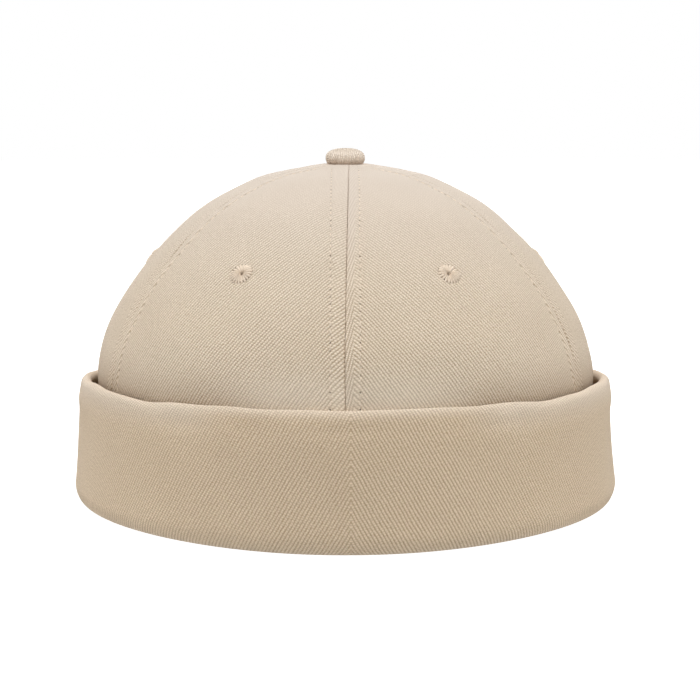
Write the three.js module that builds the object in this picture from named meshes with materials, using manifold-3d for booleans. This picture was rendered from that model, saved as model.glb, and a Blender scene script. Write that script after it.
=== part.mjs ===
// A docker cap: a brimless cloth cap with a round six-panel crown, a turned-up
// cuff all round, a covered button on top and one sewn air eyelet in each panel.
// Millimetres. +Z is up and the cap stands on the flat fold under its cuff.
// The front faces -Y. Left and right are as the front view shows them, -X and +X.

import * as THREE from 'three';
import { mergeVertices } from 'three/addons/utils/BufferGeometryUtils.js';
import Module from 'manifold-3d';

const wasm = await Module();
wasm.setup();

// Room left between two pieces that lie against each other
const clearance = 0.3;

// The crown, measured on the outside of its cloth; the half sizes are at its hem
const crown = {
  halfWidth: 89.5,
  halfLength: 94.5,
  height: 121.0,
  cloth: 1.6,
  seamDraw: 1.3,
  seamSharpness: 5,
};

// The cuff: the fold that it stands on, the wall outside the crown and the roll on its
// rim, which falls a little from the front to the back
const cuff = {
  height: 46.1,
  rimGap: 1.2,
  rollRadius: 2.3,
  flare: 2.0,
  wall: 2.6,
  foldOut: 4.0,
  foldUp: 6.5,
  floor: 2.2,
  turnInHeight: 12,
  turnInWall: 1.4,
  turnInLooseness: 0.5,
  rimFall: 3.6,
  rimDip: 2.2,
  foldLift: 0.5,
};

// The covered button and the shank that holds it through the panels' tips
const button = {
  radius: 7.0,
  height: 5.1,
  edge: 1.6,
  shankRadius: 1.6,
  shankReach: 3.4,
  domeFullness: 0.72,
};

// The sewn air eyelets
const eyelet = {
  radius: 3.65,
  holeRadius: 0.6,
  proud: 0.35,
  rim: 0.6,
  cutterDepth: 8,
};

// The crown's side, from hem to tip: rise is a share of the crown's height, reach a
// share of its half width, and fullness how far the panels swell past their seams
const crownSide = [
  { rise: 0.0, reach: 1.0, fullness: 0.0 },
  { rise: 0.17, reach: 1.0, fullness: 0.0 },
  { rise: 0.3, reach: 0.997, fullness: 0.35 },
  { rise: 0.394, reach: 0.995, fullness: 0.8 },
  { rise: 0.493, reach: 0.96, fullness: 1.0 },
  { rise: 0.592, reach: 0.893, fullness: 1.0 },
  { rise: 0.691, reach: 0.803, fullness: 0.95 },
  { rise: 0.79, reach: 0.68, fullness: 0.85 },
  { rise: 0.859, reach: 0.568, fullness: 0.7 },
  { rise: 0.918, reach: 0.43, fullness: 0.5 },
  { rise: 0.957, reach: 0.29, fullness: 0.25 },
  { rise: 0.984, reach: 0.095, fullness: 0.05 },
  { rise: 0.988, reach: 0.0, fullness: 0.0 },
];

// The seams: azimuth in degrees from the centre front, and how deep each one lies
// between its panels, as a share of the seam draw
const seams = {
  centreFront: { azimuth: 0, depth: 0.2 },
  sideFront: { azimuth: 64.5, depth: 1.0 },
  sideBack: { azimuth: 122, depth: 0.8 },
  centreBack: { azimuth: 180, depth: 0.4 },
};

// The panels of one half of the crown; eyelet is the share of the panel's width
// from its front seam, and the other half is its mirror image
const panels = [
  { name: 'front', front: seams.centreFront, back: seams.sideFront, eyelet: 0.455 },
  { name: 'side', front: seams.sideFront, back: seams.sideBack, eyelet: 0.5 },
  { name: 'back', front: seams.sideBack, back: seams.centreBack, eyelet: 0.5 },
];

// Height of the eyelets, as a share of the crown's height
const eyeletRise = 0.711;

// The soft dips in the cuff's rim: azimuth and half width in degrees, with size as a
// share of the rim dip; a mirror image of each lies on the other half
const rimDips = [
  { azimuth: 48, halfSpan: 19, size: 0.5 },
  { azimuth: 105, halfSpan: 27, size: 1.0 },
  { azimuth: 146, halfSpan: 25, size: 0.4 },
];

// Where the fold under the cuff lifts off the table, laid out in the same way, with
// size as a share of the fold lift; between them the fold is flat
const foldLifts = [
  { azimuth: 40, halfSpan: 34, size: 1.0 },
  { azimuth: 142, halfSpan: 34, size: 0.8 },
];

// How far the cuff's rim rolls over, in degrees from the top of its outside wall
const rollTurn = 210;

// Where the underside of the button follows the crown, as shares of its radius
const buttonUnderside = [0.6, 0.93];

// Steps that the smooth shapes are divided into
const columnsPerPanel = 10;
const rowsPerPanel = 14;
const cuffStations = 72;
const foldSteps = 4;
const rollSteps = 6;
const buttonSides = 24;
const buttonDomeSteps = 7;
const eyeletSides = 16;

const crownCurve = new THREE.SplineCurve(
  crownSide.map((row) => new THREE.Vector2(row.reach, row.rise)),
);
const fullnessCurve = new THREE.SplineCurve(
  crownSide.map((row) => new THREE.Vector2(row.rise, row.fullness)),
);

// Returns the place on a curve, 0 to 1, where the named coordinate passes a value
function placeOn(curve, coordinate, value) {
  const rising = curve.getPoint(1)[coordinate] > curve.getPoint(0)[coordinate];
  let low = 0;
  let high = 1;
  for (let halving = 0; halving < 40; halving += 1) {
    const middle = (low + high) / 2;
    const passed = curve.getPoint(middle)[coordinate] > value;
    if (passed === rising) {
      high = middle;
    } else {
      low = middle;
    }
  }
  return (low + high) / 2;
}

// Returns how far the panels swell at a height, from 0 to 1
function fullnessAt(rise) {
  return Math.max(0, fullnessCurve.getPoint(placeOn(fullnessCurve, 'x', rise)).y);
}

// Returns a point of the smooth dome and its outward direction there
function domeAt(azimuth, place) {
  const { x: reach, y: rise } = crownCurve.getPoint(place);
  const tangent = crownCurve.getTangent(place);
  const sine = Math.sin(azimuth);
  const cosine = Math.cos(azimuth);
  const point = new THREE.Vector3(
    crown.halfWidth * reach * sine,
    -crown.halfLength * reach * cosine,
    crown.height * rise,
  );
  const around = new THREE.Vector3(crown.halfWidth * cosine, crown.halfLength * sine, 0);
  const upward = new THREE.Vector3(
    crown.halfWidth * tangent.x * sine,
    -crown.halfLength * tangent.x * cosine,
    crown.height * tangent.y,
  );
  return { point, outward: around.cross(upward).normalize(), reach, rise };
}

// Turns a geometry into a closed solid that can be joined and cut
function toSolid(geometry) {
  const bare = geometry.clone();
  bare.deleteAttribute('normal');
  bare.deleteAttribute('uv');
  const welded = mergeVertices(bare, 1e-4);
  return new wasm.Manifold(new wasm.Mesh({
    numProp: 3,
    vertProperties: new Float32Array(welded.attributes.position.array),
    triVerts: new Uint32Array(welded.index.array),
  }));
}

// Turns a solid back into a geometry
function toGeometry(solid) {
  const mesh = solid.getMesh();
  const geometry = new THREE.BufferGeometry();
  geometry.setAttribute('position', new THREE.BufferAttribute(mesh.vertProperties, 3));
  geometry.setIndex(new THREE.BufferAttribute(mesh.triVerts, 1));
  geometry.computeVertexNormals();
  return geometry;
}

// Makes a geometry from points and triangles
function fromTriangles(points, triangles) {
  const geometry = new THREE.BufferGeometry();
  const flat = points.flatMap((point) => point.toArray());
  geometry.setAttribute('position', new THREE.Float32BufferAttribute(flat, 3));
  geometry.setIndex(triangles);
  geometry.computeVertexNormals();
  return geometry;
}

const shankHole = button.shankRadius + clearance + crown.cloth / 2;
const tipPlace = placeOn(crownCurve, 'x', shankHole / crown.halfWidth);
const hemPlace = placeOn(crownCurve, 'y', (cuff.floor + clearance) / crown.height);

// Returns the angle that trims a panel's edge back from its seam by half the clearance
function seamTrim(azimuth, reach) {
  const ray = Math.hypot(crown.halfWidth * Math.sin(azimuth), crown.halfLength * Math.cos(azimuth));
  return Math.asin((clearance / 2) * ray / (reach * crown.halfWidth * crown.halfLength));
}

// Returns how far the cloth is drawn in near a panel's two seams, across goes 0 to 1
function drawAcross(across, frontDepth, backDepth) {
  const nearFront = frontDepth * (1 - across) ** crown.seamSharpness;
  const nearBack = backDepth * across ** crown.seamSharpness;
  return crown.seamDraw * (nearFront + nearBack);
}

// Makes one crown panel between two seams, from its hem inside the cuff to its tip
function panelGeometry(first, last) {
  const outer = [];
  const inner = [];
  for (let row = 0; row <= rowsPerPanel; row += 1) {
    const place = THREE.MathUtils.lerp(hemPlace, tipPlace, row / rowsPerPanel);
    const { reach, rise } = domeAt(0, place);
    const start = first.angle + seamTrim(first.angle, reach);
    const end = last.angle - seamTrim(last.angle, reach);
    for (let column = 0; column <= columnsPerPanel; column += 1) {
      const across = column / columnsPerPanel;
      const { point, outward } = domeAt(THREE.MathUtils.lerp(start, end, across), place);
      const draw = drawAcross(across, first.depth, last.depth) * fullnessAt(rise);
      outer.push(point.clone().addScaledVector(outward, -draw));
      inner.push(point.clone().addScaledVector(outward, -draw - crown.cloth));
    }
  }
  const width = columnsPerPanel + 1;
  const innerStart = outer.length;
  const triangles = [];
  const addQuad = (a, b, c, d) => triangles.push(a, b, c, a, c, d);
  for (let row = 0; row < rowsPerPanel; row += 1) {
    for (let column = 0; column < columnsPerPanel; column += 1) {
      const a = row * width + column;
      const b = a + 1;
      const c = b + width;
      const d = a + width;
      addQuad(a, b, c, d);
      addQuad(innerStart + a, innerStart + d, innerStart + c, innerStart + b);
    }
    const left = row * width;
    const right = left + columnsPerPanel;
    addQuad(left, left + width, innerStart + left + width, innerStart + left);
    addQuad(right, innerStart + right, innerStart + right + width, right + width);
  }
  for (let column = 0; column < columnsPerPanel; column += 1) {
    const tip = rowsPerPanel * width + column;
    addQuad(column, innerStart + column, innerStart + column + 1, column + 1);
    addQuad(tip, tip + 1, innerStart + tip + 1, innerStart + tip);
  }
  return fromTriangles([...outer, ...inner], triangles);
}

// Places a round piece made about +Z so that it stands square on the crown's cloth
function standOnCrown(object, seat) {
  const up = new THREE.Vector3(0, 0, 1);
  object.position.copy(seat.point);
  object.quaternion.setFromUnitVectors(up, seat.outward);
  object.updateMatrix();
  return object;
}

// Makes the round cutter for an eyelet's hole, in place on the crown
function eyeletCutter(seat) {
  const radius = eyelet.radius + clearance;
  const geometry = new THREE.CylinderGeometry(radius, radius, eyelet.cutterDepth, eyeletSides);
  geometry.rotateX(Math.PI / 2);
  return geometry.applyMatrix4(standOnCrown(new THREE.Object3D(), seat).matrix);
}

// Makes a ring about +Z from a closed outline of radius and height pairs
function ringGeometry(outline, sides) {
  const points = outline.map(([radius, height]) => new THREE.Vector2(radius, height));
  points.push(points[0].clone());
  const geometry = new THREE.LatheGeometry(points, sides);
  return geometry.rotateX(Math.PI / 2);
}

// Makes a sewn eyelet about +Z, its outside at height 0 level with the crown's outside
function eyeletGeometry() {
  const top = eyelet.proud;
  const bottom = -crown.cloth - eyelet.proud;
  return ringGeometry([
    [eyelet.holeRadius, bottom + eyelet.rim],
    [eyelet.holeRadius + eyelet.rim, bottom],
    [eyelet.radius, bottom + eyelet.rim],
    [eyelet.radius, top - eyelet.rim],
    [eyelet.holeRadius + eyelet.rim, top],
    [eyelet.holeRadius, top - eyelet.rim],
  ], eyeletSides);
}

// Returns the height of the crown's outside at a distance from its tip
function crownHeightAt(radius) {
  return crown.height * crownCurve.getPoint(placeOn(crownCurve, 'x', radius / crown.halfLength)).y;
}

// Makes the covered button and its shank about the crown's axis
function buttonGeometry() {
  const seatAt = (radius) => crownHeightAt(radius) + clearance;
  const edgeHeight = seatAt(button.radius) + button.edge;
  const topHeight = seatAt(button.radius) + button.height;
  const shankFoot = crownHeightAt(0) - crown.cloth - button.shankReach;
  const points = [
    new THREE.Vector2(0, shankFoot),
    new THREE.Vector2(button.shankRadius, shankFoot),
    new THREE.Vector2(button.shankRadius, seatAt(button.shankRadius)),
  ];
  buttonUnderside.forEach((share) => {
    points.push(new THREE.Vector2(button.radius * share, seatAt(button.radius * share)));
  });
  const domeHeight = topHeight - edgeHeight;
  for (let step = 0; step < buttonDomeSteps; step += 1) {
    const turn = (step / buttonDomeSteps) * Math.PI / 2;
    const radius = button.radius * Math.cos(turn) ** button.domeFullness;
    const height = edgeHeight + domeHeight * Math.sin(turn) ** button.domeFullness;
    points.push(new THREE.Vector2(radius, height));
  }
  points.push(new THREE.Vector2(0, topHeight));
  return new THREE.LatheGeometry(points, buttonSides).rotateX(Math.PI / 2);
}

// Returns the sum of a table's soft waves at an azimuth in degrees, as a share
function wavesAt(waves, degrees) {
  const fromFront = Math.abs(THREE.MathUtils.euclideanModulo(degrees + 180, 360) - 180);
  return waves.reduce((sum, { azimuth, halfSpan, size }) => {
    const distance = Math.min(1, Math.abs(fromFront - azimuth) / halfSpan);
    return sum + size * (1 + Math.cos(Math.PI * distance)) / 2;
  }, 0);
}

// Returns points on an arc about a centre, between two angles in degrees
function arc(centreOut, centreUp, radiusOut, radiusUp, startDegrees, endDegrees, steps) {
  const points = [];
  for (let step = 0; step <= steps; step += 1) {
    const turn = THREE.MathUtils.degToRad(
      THREE.MathUtils.lerp(startDegrees, endDegrees, step / steps),
    );
    points.push([centreOut + radiusOut * Math.cos(turn), centreUp + radiusUp * Math.sin(turn)]);
  }
  return points;
}

// Share of the flare that the wall already has halfway down
const middleFlareShare = 0.25;

// Returns the cuff's closed outline: out is measured from the crown's outside at its
// hem, and up from the table. It runs from the turn-in, under the fold and up the wall
function cuffOutline(rimHeight, foldHeight) {
  const turnInOuter = -crown.cloth - cuff.turnInLooseness;
  const turnInInner = turnInOuter - cuff.turnInWall;
  const wallTop = cuff.rimGap + 2 * cuff.rollRadius;
  const wallFoot = wallTop + cuff.flare;
  const rollUp = rimHeight - cuff.rollRadius;
  const middleUp = (rollUp + cuff.foldUp) / 2;
  const middleFlare = cuff.flare * middleFlareShare;
  const innerFoot = wallFoot - cuff.wall;
  const innerTop = wallTop - cuff.wall;
  const corner = cuff.turnInWall / 2;
  const foldCentre = wallFoot - cuff.foldOut;
  const rollCentre = wallTop - cuff.rollRadius;
  return [
    [turnInOuter, cuff.turnInHeight],
    [turnInInner, cuff.turnInHeight],
    [turnInInner, foldHeight + corner],
    [turnInInner + corner, foldHeight],
    ...arc(foldCentre, cuff.foldUp, cuff.foldOut, cuff.foldUp - foldHeight, -90, 0, foldSteps),
    [wallTop + middleFlare, middleUp],
    ...arc(rollCentre, rollUp, cuff.rollRadius, cuff.rollRadius, 0, rollTurn, rollSteps),
    [innerTop, rollUp - cuff.rollRadius],
    [innerTop + middleFlare, middleUp],
    [innerFoot, cuff.foldUp],
    [innerFoot - cuff.foldOut / 2, cuff.floor],
    [turnInOuter, cuff.floor],
  ];
}

// Makes the cuff by carrying its outline round the crown's hem
function cuffGeometry() {
  const points = [];
  for (let station = 0; station < cuffStations; station += 1) {
    const degrees = (station / cuffStations) * 360;
    const azimuth = THREE.MathUtils.degToRad(degrees);
    const fall = cuff.rimFall * (1 - Math.cos(azimuth)) / 2;
    const rimHeight = cuff.height - fall - cuff.rimDip * wavesAt(rimDips, degrees);
    const foldHeight = cuff.foldLift * wavesAt(foldLifts, degrees);
    const outline = cuffOutline(rimHeight, foldHeight);
    const hem = new THREE.Vector2(
      crown.halfWidth * Math.sin(azimuth),
      -crown.halfLength * Math.cos(azimuth),
    );
    const outward = new THREE.Vector2(
      crown.halfLength * Math.sin(azimuth),
      -crown.halfWidth * Math.cos(azimuth),
    ).normalize();
    outline.forEach(([out, up]) => {
      points.push(new THREE.Vector3(hem.x + outward.x * out, hem.y + outward.y * out, up));
    });
  }
  const count = points.length / cuffStations;
  const triangles = [];
  for (let station = 0; station < cuffStations; station += 1) {
    const here = station * count;
    const next = ((station + 1) % cuffStations) * count;
    for (let index = 0; index < count; index += 1) {
      const following = (index + 1) % count;
      triangles.push(here + index, next + index, next + following);
      triangles.push(here + index, next + following, here + following);
    }
  }
  return fromTriangles(points, triangles);
}

const twillColour = 0xd7c7ae;
const cuffColour = 0xcbb696;
const threadColour = 0xdccdb6;

// Makes a cloth material in one colour
function cloth(colour) {
  return new THREE.MeshStandardMaterial({ color: colour, roughness: 0.95, metalness: 0 });
}

// Makes a named piece from its geometry and material
function piece(name, geometry, material) {
  const mesh = new THREE.Mesh(geometry, material);
  mesh.name = name;
  return mesh;
}

const cap = new THREE.Group();

const crownGroup = new THREE.Group();
cap.add(crownGroup);
['left', 'right'].forEach((side) => {
  const sign = side === 'left' ? -1 : 1;
  panels.forEach((panel) => {
    const frontAngle = sign * THREE.MathUtils.degToRad(panel.front.azimuth);
    const backAngle = sign * THREE.MathUtils.degToRad(panel.back.azimuth);
    const frontEdge = { angle: frontAngle, depth: panel.front.depth };
    const backEdge = { angle: backAngle, depth: panel.back.depth };
    const [first, last] = sign > 0 ? [frontEdge, backEdge] : [backEdge, frontEdge];
    const eyeletAngle = THREE.MathUtils.lerp(frontAngle, backAngle, panel.eyelet);
    const seat = domeAt(eyeletAngle, placeOn(crownCurve, 'y', eyeletRise));
    const whole = toSolid(panelGeometry(first, last));
    const pierced = toGeometry(whole.subtract(toSolid(eyeletCutter(seat))));
    crownGroup.add(piece(`panel_${panel.name}_${side}`, pierced, cloth(twillColour)));
    const ring = piece(`eyelet_${panel.name}_${side}`, eyeletGeometry(), cloth(threadColour));
    crownGroup.add(standOnCrown(ring, seat));
  });
});

cap.add(piece('cuff', cuffGeometry(), cloth(cuffColour)));
cap.add(piece('top_button', buttonGeometry(), cloth(twillColour)));

export default cap;
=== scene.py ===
"""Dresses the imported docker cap: cloth panels, turned-up cuff, gathered button, eyelets and stitching.

Lengths are in millimetres until a mesh is made, where one function turns them to metres.
The front faces -Y, +Z is up, and left and right are as the front view shows them.
"""

import logging
import math
from dataclasses import dataclass, field
from enum import Enum

import bmesh
import bpy
import numpy as np
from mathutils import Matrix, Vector


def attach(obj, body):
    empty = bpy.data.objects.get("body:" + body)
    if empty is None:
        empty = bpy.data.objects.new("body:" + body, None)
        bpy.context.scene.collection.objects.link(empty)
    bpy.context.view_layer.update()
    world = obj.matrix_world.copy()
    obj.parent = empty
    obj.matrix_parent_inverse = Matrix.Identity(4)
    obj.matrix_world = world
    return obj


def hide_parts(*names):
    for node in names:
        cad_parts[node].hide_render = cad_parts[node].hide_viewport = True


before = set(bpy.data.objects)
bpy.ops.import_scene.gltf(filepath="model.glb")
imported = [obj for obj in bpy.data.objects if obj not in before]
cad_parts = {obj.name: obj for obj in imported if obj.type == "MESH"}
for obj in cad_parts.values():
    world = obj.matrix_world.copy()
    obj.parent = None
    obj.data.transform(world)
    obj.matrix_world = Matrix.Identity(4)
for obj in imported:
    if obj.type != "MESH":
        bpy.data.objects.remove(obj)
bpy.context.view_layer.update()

Tree = bpy.types.NodeTree
Socket = bpy.types.NodeSocket
Piece = bpy.types.Object
Finish = bpy.types.Material
Array = np.ndarray
Pair = tuple[Array, Array]

METRES = 0.001
CLOTH_MAP = "cloth"
STITCH_MAP = "stitches"
ROOT = "root"
PHOTO_PIXELS = 700
RIB_DEGREES = 57.0
log = logging.getLogger("cap")


class Side(Enum):
    """The two halves of the cap, with the sign of X that each one has."""

    LEFT = -1
    RIGHT = 1

    @property
    def word(self) -> str:
        """The side's name as the nodes have it."""
        return self.name.lower()


def linear(hex_colour: str) -> tuple[float, float, float, float]:
    """Turns an sRGB hex colour into the linear colour that the shaders take.

    Args:
        hex_colour: Six hex digits after a hash.

    Returns:
        Red, green, blue and an alpha of one.
    """
    values = [int(hex_colour[i:i + 2], 16) / 255 for i in (1, 3, 5)]
    return (*[v / 12.92 if v <= 0.04045 else ((v + 0.055) / 1.055) ** 2.4 for v in values], 1.0)


def add_node(
    tree: Tree, kind: str, inputs: dict | None = None, output: int | str = 0, **settings: object
) -> Socket | None:
    """Adds one node, sets its properties and fills or links its inputs.

    Args:
        tree: The node tree that takes it.
        kind: Blender's type name of the node, without the leading word Shader.
        inputs: A value or an output socket for each input, by name or number.
        output: The output to hand back, by name or number.
        **settings: The node's own properties.

    Returns:
        That output, or None where the node has none.
    """
    node = tree.nodes.new(f"Shader{kind}")
    for name, value in settings.items():
        setattr(node, name, value)
    for name, value in (inputs or {}).items():
        if isinstance(value, Socket):
            tree.links.new(value, node.inputs[name])
        else:
            node.inputs[name].default_value = value
    return node.outputs[output] if node.outputs else None


def new_material(name: str) -> tuple[Finish, Tree]:
    """Makes an empty material.

    Args:
        name: Its name.

    Returns:
        The material and its node tree.
    """
    made = bpy.data.materials.new(name)
    made.use_nodes = True
    made.node_tree.nodes.clear()
    return made, made.node_tree


def smooth_step(values: Array) -> Array:
    """Eases values between 0 and 1."""
    held = np.clip(values, 0.0, 1.0)
    return held * held * (3.0 - 2.0 * held)


def hump(values: Array, centre: float | Array, width: float) -> Array:
    """Gives a soft hump, 1 at its centre and almost 0 at twice its width from there."""
    return np.exp(-(((values - centre) / width) ** 2))


def between(first: float, second: float, share: Array) -> Array:
    """Goes from one value to another by a share of 0 to 1."""
    return first + (second - first) * share


def full_turn(steps: int) -> Array:
    """Spaces angles evenly round a circle, in radians."""
    return np.linspace(0, 2 * math.pi, steps, endpoint=False)


def from_front(degrees: Array) -> Array:
    """Gives the degrees between azimuths and the centre front, alike on both halves."""
    return np.abs((degrees + 180) % 360 - 180)


def make_piece(name: str, points: Array, faces: list, maps: dict, finish: Finish) -> Piece:
    """Makes a smooth-shaded mesh object.

    Args:
        name: Its name.
        points: Its points in millimetres, in rows or as a grid.
        faces: Its faces, as lists of point numbers.
        maps: Flat maps in millimetres by name, laid out as the points are.
        finish: Its material.

    Returns:
        The object, linked to the scene.
    """
    mesh = bpy.data.meshes.new(name)
    mesh.from_pydata((points.reshape(-1, 3) * METRES).tolist(), [], faces)
    corner_points = np.empty(len(mesh.loops), dtype=np.int32)
    mesh.loops.foreach_get("vertex_index", corner_points)
    for map_name, places in maps.items():
        layer = mesh.uv_layers.new(name=map_name)
        layer.data.foreach_set("uv", places.reshape(-1, 2)[corner_points].astype(np.float32).ravel())
    mesh.polygons.foreach_set("use_smooth", np.ones(len(mesh.polygons), dtype=bool))
    mesh.materials.append(finish)
    mesh.update()
    piece = bpy.data.objects.new(name, mesh)
    bpy.context.scene.collection.objects.link(piece)
    return piece


def grid_faces(rows: int, columns: int, start: int = 0, closed: bool = False) -> list:
    """Lists the quads of a grid of points laid out row by row.

    Args:
        rows: Rows of points.
        columns: Points in a row.
        start: Number of the grid's first point.
        closed: True where the last column joins the first.

    Returns:
        Four point numbers for each quad.
    """
    across = np.arange(columns if closed else columns - 1)
    low = start + np.arange(rows - 1)[:, None] * columns
    a = low + across
    b = low + (across + 1) % columns
    return np.stack([a, b, b + columns, a + columns], axis=-1).reshape(-1, 4).tolist()


@dataclass(frozen=True)
class SoftWaves:
    """A smooth random relief, made of plane waves, which is the same in every run."""

    seed: int
    shortest: float
    longest: float
    count: int = 9

    def at(self, first: Array, second: Array | float = 0.0) -> Array:
        """Gives the relief at places on the cloth.

        Args:
            first: One coordinate in millimetres.
            second: The other one.

        Returns:
            Values of about -1 to 1.
        """
        chance = np.random.default_rng(self.seed)
        total = np.zeros(np.broadcast(first, second).shape)
        for _ in range(self.count):
            turn = chance.uniform(0, 2 * math.pi)
            number = 2 * math.pi / chance.uniform(self.shortest, self.longest)
            phase = chance.uniform(0, 2 * math.pi)
            total += np.sin(number * (first * math.cos(turn) + second * math.sin(turn)) + phase)
        return total / math.sqrt(2.0 * self.count)


@dataclass(frozen=True)
class ToneZone:
    """A zone where the cloth's colour is changed, growing from one height to another; on this cap most zones
    are painted light and shade.

    The cap's sides and its front take different shares of it, which blend between two depths.
    """

    start: float
    full: float
    colour: str
    side_share: float
    front_share: float
    side_depth: float = -80.0
    front_depth: float = -92.5

    def share(self, tree: Tree) -> Socket:
        """Finds how far the zone covers the cloth.

        Args:
            tree: The material's node tree.

        Returns:
            Its share, 0 where the cloth keeps its colours.
        """
        solid = add_node(tree, "NodeTexCoord", output="Object")
        _, depth, height = add_node(tree, "NodeSeparateXYZ", {"Vector": solid}).node.outputs
        amount = {
            "Value": depth, "From Min": self.side_depth * METRES, "From Max": self.front_depth * METRES,
            "To Min": self.side_share, "To Max": self.front_share,
        }
        reach = {"Value": height, "From Min": self.start * METRES, "From Max": self.full * METRES}
        amount, reach = (
            add_node(tree, "NodeMapRange", each, interpolation_type="SMOOTHSTEP") for each in (amount, reach)
        )
        return add_node(tree, "NodeMath", {0: amount, 1: reach}, operation="MULTIPLY")


@dataclass(frozen=True)
class TwillCloth:
    """Heavy woven cotton twill: matt, with fine raised diagonal ribs and thin shadows between them."""

    name: str
    rib: str
    gap: str
    shade: str
    rib_pitch: float = 1.09
    float_length: float = 0.76
    row_shift: float = 2.3
    waver: float = 0.7
    jitter: float = 0.34
    bead_jitter: float = 4.0
    contrast: float = 0.9
    fibre_contrast: float = 0.95
    fibre_relief: float = 0.3
    bead_depth: float = 0.42
    rib_height: float = 0.22
    rib_sharpness: float = 1.6
    faded: str = "#cfc1b2"
    faded_share: float = 0.0
    fading_start: float = 85.0
    fading_full: float = 150.0
    zones: tuple = ()
    needle_pitch: float = 0.0
    needle_hole: float = 0.4
    needle_shadow: str = "#6b5944"
    needle_dent: float = -1.5
    roughness: float = 0.92
    sheen: float = 0.12

    def material(self) -> Finish:
        """Builds the cloth from its weave.

        The ribs stand about 1 mm apart, as on the real cloth, and the floats along each one
        bead it. Fibres finer than 0.2 mm are drawn at 0.6 mm so that they show. The dye has taken
        unevenly, in clouds about 30 mm across.

        Returns:
            The finished material.
        """
        made, tree = new_material(self.name)
        place = add_node(tree, "NodeUVMap", output="UV", uv_map=CLOTH_MAP)
        fibres = add_node(tree, "NodeTexNoise", {"Vector": place, "Scale": 1.6, "Detail": 2.0})
        weave = self._weave(tree, place)
        tone = {0: weave, 1: self.contrast, 2: 0.5 * (1 - self.contrast) - 0.4}
        tone = add_node(tree, "NodeMath", tone, operation="MULTIPLY_ADD")
        tone = {0: fibres, 1: self.fibre_contrast, 2: tone}
        tone = add_node(tree, "NodeMath", tone, operation="MULTIPLY_ADD", use_clamp=True)
        cloud = add_node(tree, "NodeTexNoise", {"Vector": place, "Scale": 0.035, "Detail": 3.0})
        cloud = {"Value": cloud, "From Min": 0.28, "From Max": 0.9, "To Max": 0.22}
        layers = [(tone, self.rib), (add_node(tree, "NodeMapRange", cloud), self.shade)]
        height = {0: fibres, 1: self.fibre_relief, 2: weave}
        height = add_node(tree, "NodeMath", height, operation="MULTIPLY_ADD")
        strength = 1.0
        # Painted highlight: towards the top of the cloth its colour pales to a light grey, and its bump fades
        # with it.
        if self.faded_share:
            painted_highlight = {
                "Value": add_node(tree, "NodeSeparateXYZ", {"Vector": place}, "Y"),
                "From Min": self.fading_start, "From Max": self.fading_full, "To Max": self.faded_share,
            }
            painted_highlight = add_node(tree, "NodeMapRange", painted_highlight, interpolation_type="SMOOTHSTEP")
            layers.append((painted_highlight, self.faded))
            strength = add_node(tree, "NodeMath", {0: 1.0, 1: painted_highlight}, operation="SUBTRACT")
        layers += [(zone.share(tree), zone.colour) for zone in self.zones]
        if self.needle_pitch:
            holes = self._needle_holes(tree)
            layers.append((holes, self.needle_shadow))
            height = {0: holes, 1: self.needle_dent, 2: height}
            height = add_node(tree, "NodeMath", height, operation="MULTIPLY_ADD")
        colours = linear(self.gap)
        for share, colour in layers:
            colours = {0: share, 6: colours, 7: linear(colour)}
            colours = add_node(tree, "NodeMix", colours, 2, data_type="RGBA")
        bump = {"Height": height, "Strength": strength, "Distance": self.rib_height * METRES}
        surface = {
            "Base Color": colours, "Normal": add_node(tree, "NodeBump", bump), "Roughness": self.roughness,
            "Specular IOR Level": 0.2, "Sheen Weight": self.sheen, "Sheen Roughness": 0.5,
        }
        add_node(tree, "NodeOutputMaterial", {"Surface": add_node(tree, "NodeBsdfPrincipled", surface)})
        return made

    def _weave(self, tree: Tree, place: Socket) -> Socket:
        """Draws the ribs and the beads along them.

        Args:
            tree: The material's node tree.
            place: Place on the cloth in millimetres.

        Returns:
            Height of the weave, 0 in the gaps to 1 on the beads.
        """
        # The ribs waver over about 9 mm, and each bead sits a little off its place.
        waver = add_node(tree, "NodeTexNoise", {"Vector": place, "Scale": 0.11, "Detail": 2.0})
        jitter = add_node(tree, "NodeTexNoise", {"Vector": place, "Scale": 1.1, "Detail": 1.0})
        turned = {"Vector": place, "Rotation": (0.0, 0.0, -math.radians(RIB_DEGREES))}
        turned = add_node(tree, "NodeMapping", turned)
        along, across, _ = add_node(tree, "NodeSeparateXYZ", {"Vector": turned}).node.outputs
        for noise, amount in ((waver, self.waver), (jitter, self.jitter)):
            across = add_node(tree, "NodeMath", {0: noise, 1: amount, 2: across}, operation="MULTIPLY_ADD")
        ribs = add_node(tree, "NodeMath", {0: across, 1: self.rib_pitch}, operation="DIVIDE")
        row = add_node(tree, "NodeMath", {0: ribs}, operation="FLOOR")
        crest, invert = ribs, ("MULTIPLY_ADD", -1.0, 1.0)
        to_crest = ("PINGPONG", 0.5), ("MULTIPLY_ADD", -2.0, 1.0), ("POWER", self.rib_sharpness), invert
        for operation, *others in to_crest:
            crest = add_node(tree, "NodeMath", dict(enumerate([crest, *others])), operation=operation)
        beads = {0: along, 1: 2 * math.pi / self.float_length}
        beads = add_node(tree, "NodeMath", beads, operation="MULTIPLY")
        for shift, amount in ((row, self.row_shift), (jitter, self.bead_jitter)):
            beads = add_node(tree, "NodeMath", {0: shift, 1: amount, 2: beads}, operation="MULTIPLY_ADD")
        half = self.bead_depth / 2
        beads = {0: add_node(tree, "NodeMath", {0: beads}, operation="COSINE"), 1: half, 2: 1 - half}
        beads = add_node(tree, "NodeMath", beads, operation="MULTIPLY_ADD")
        return add_node(tree, "NodeMath", {0: crest, 1: beads}, operation="MULTIPLY")

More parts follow.
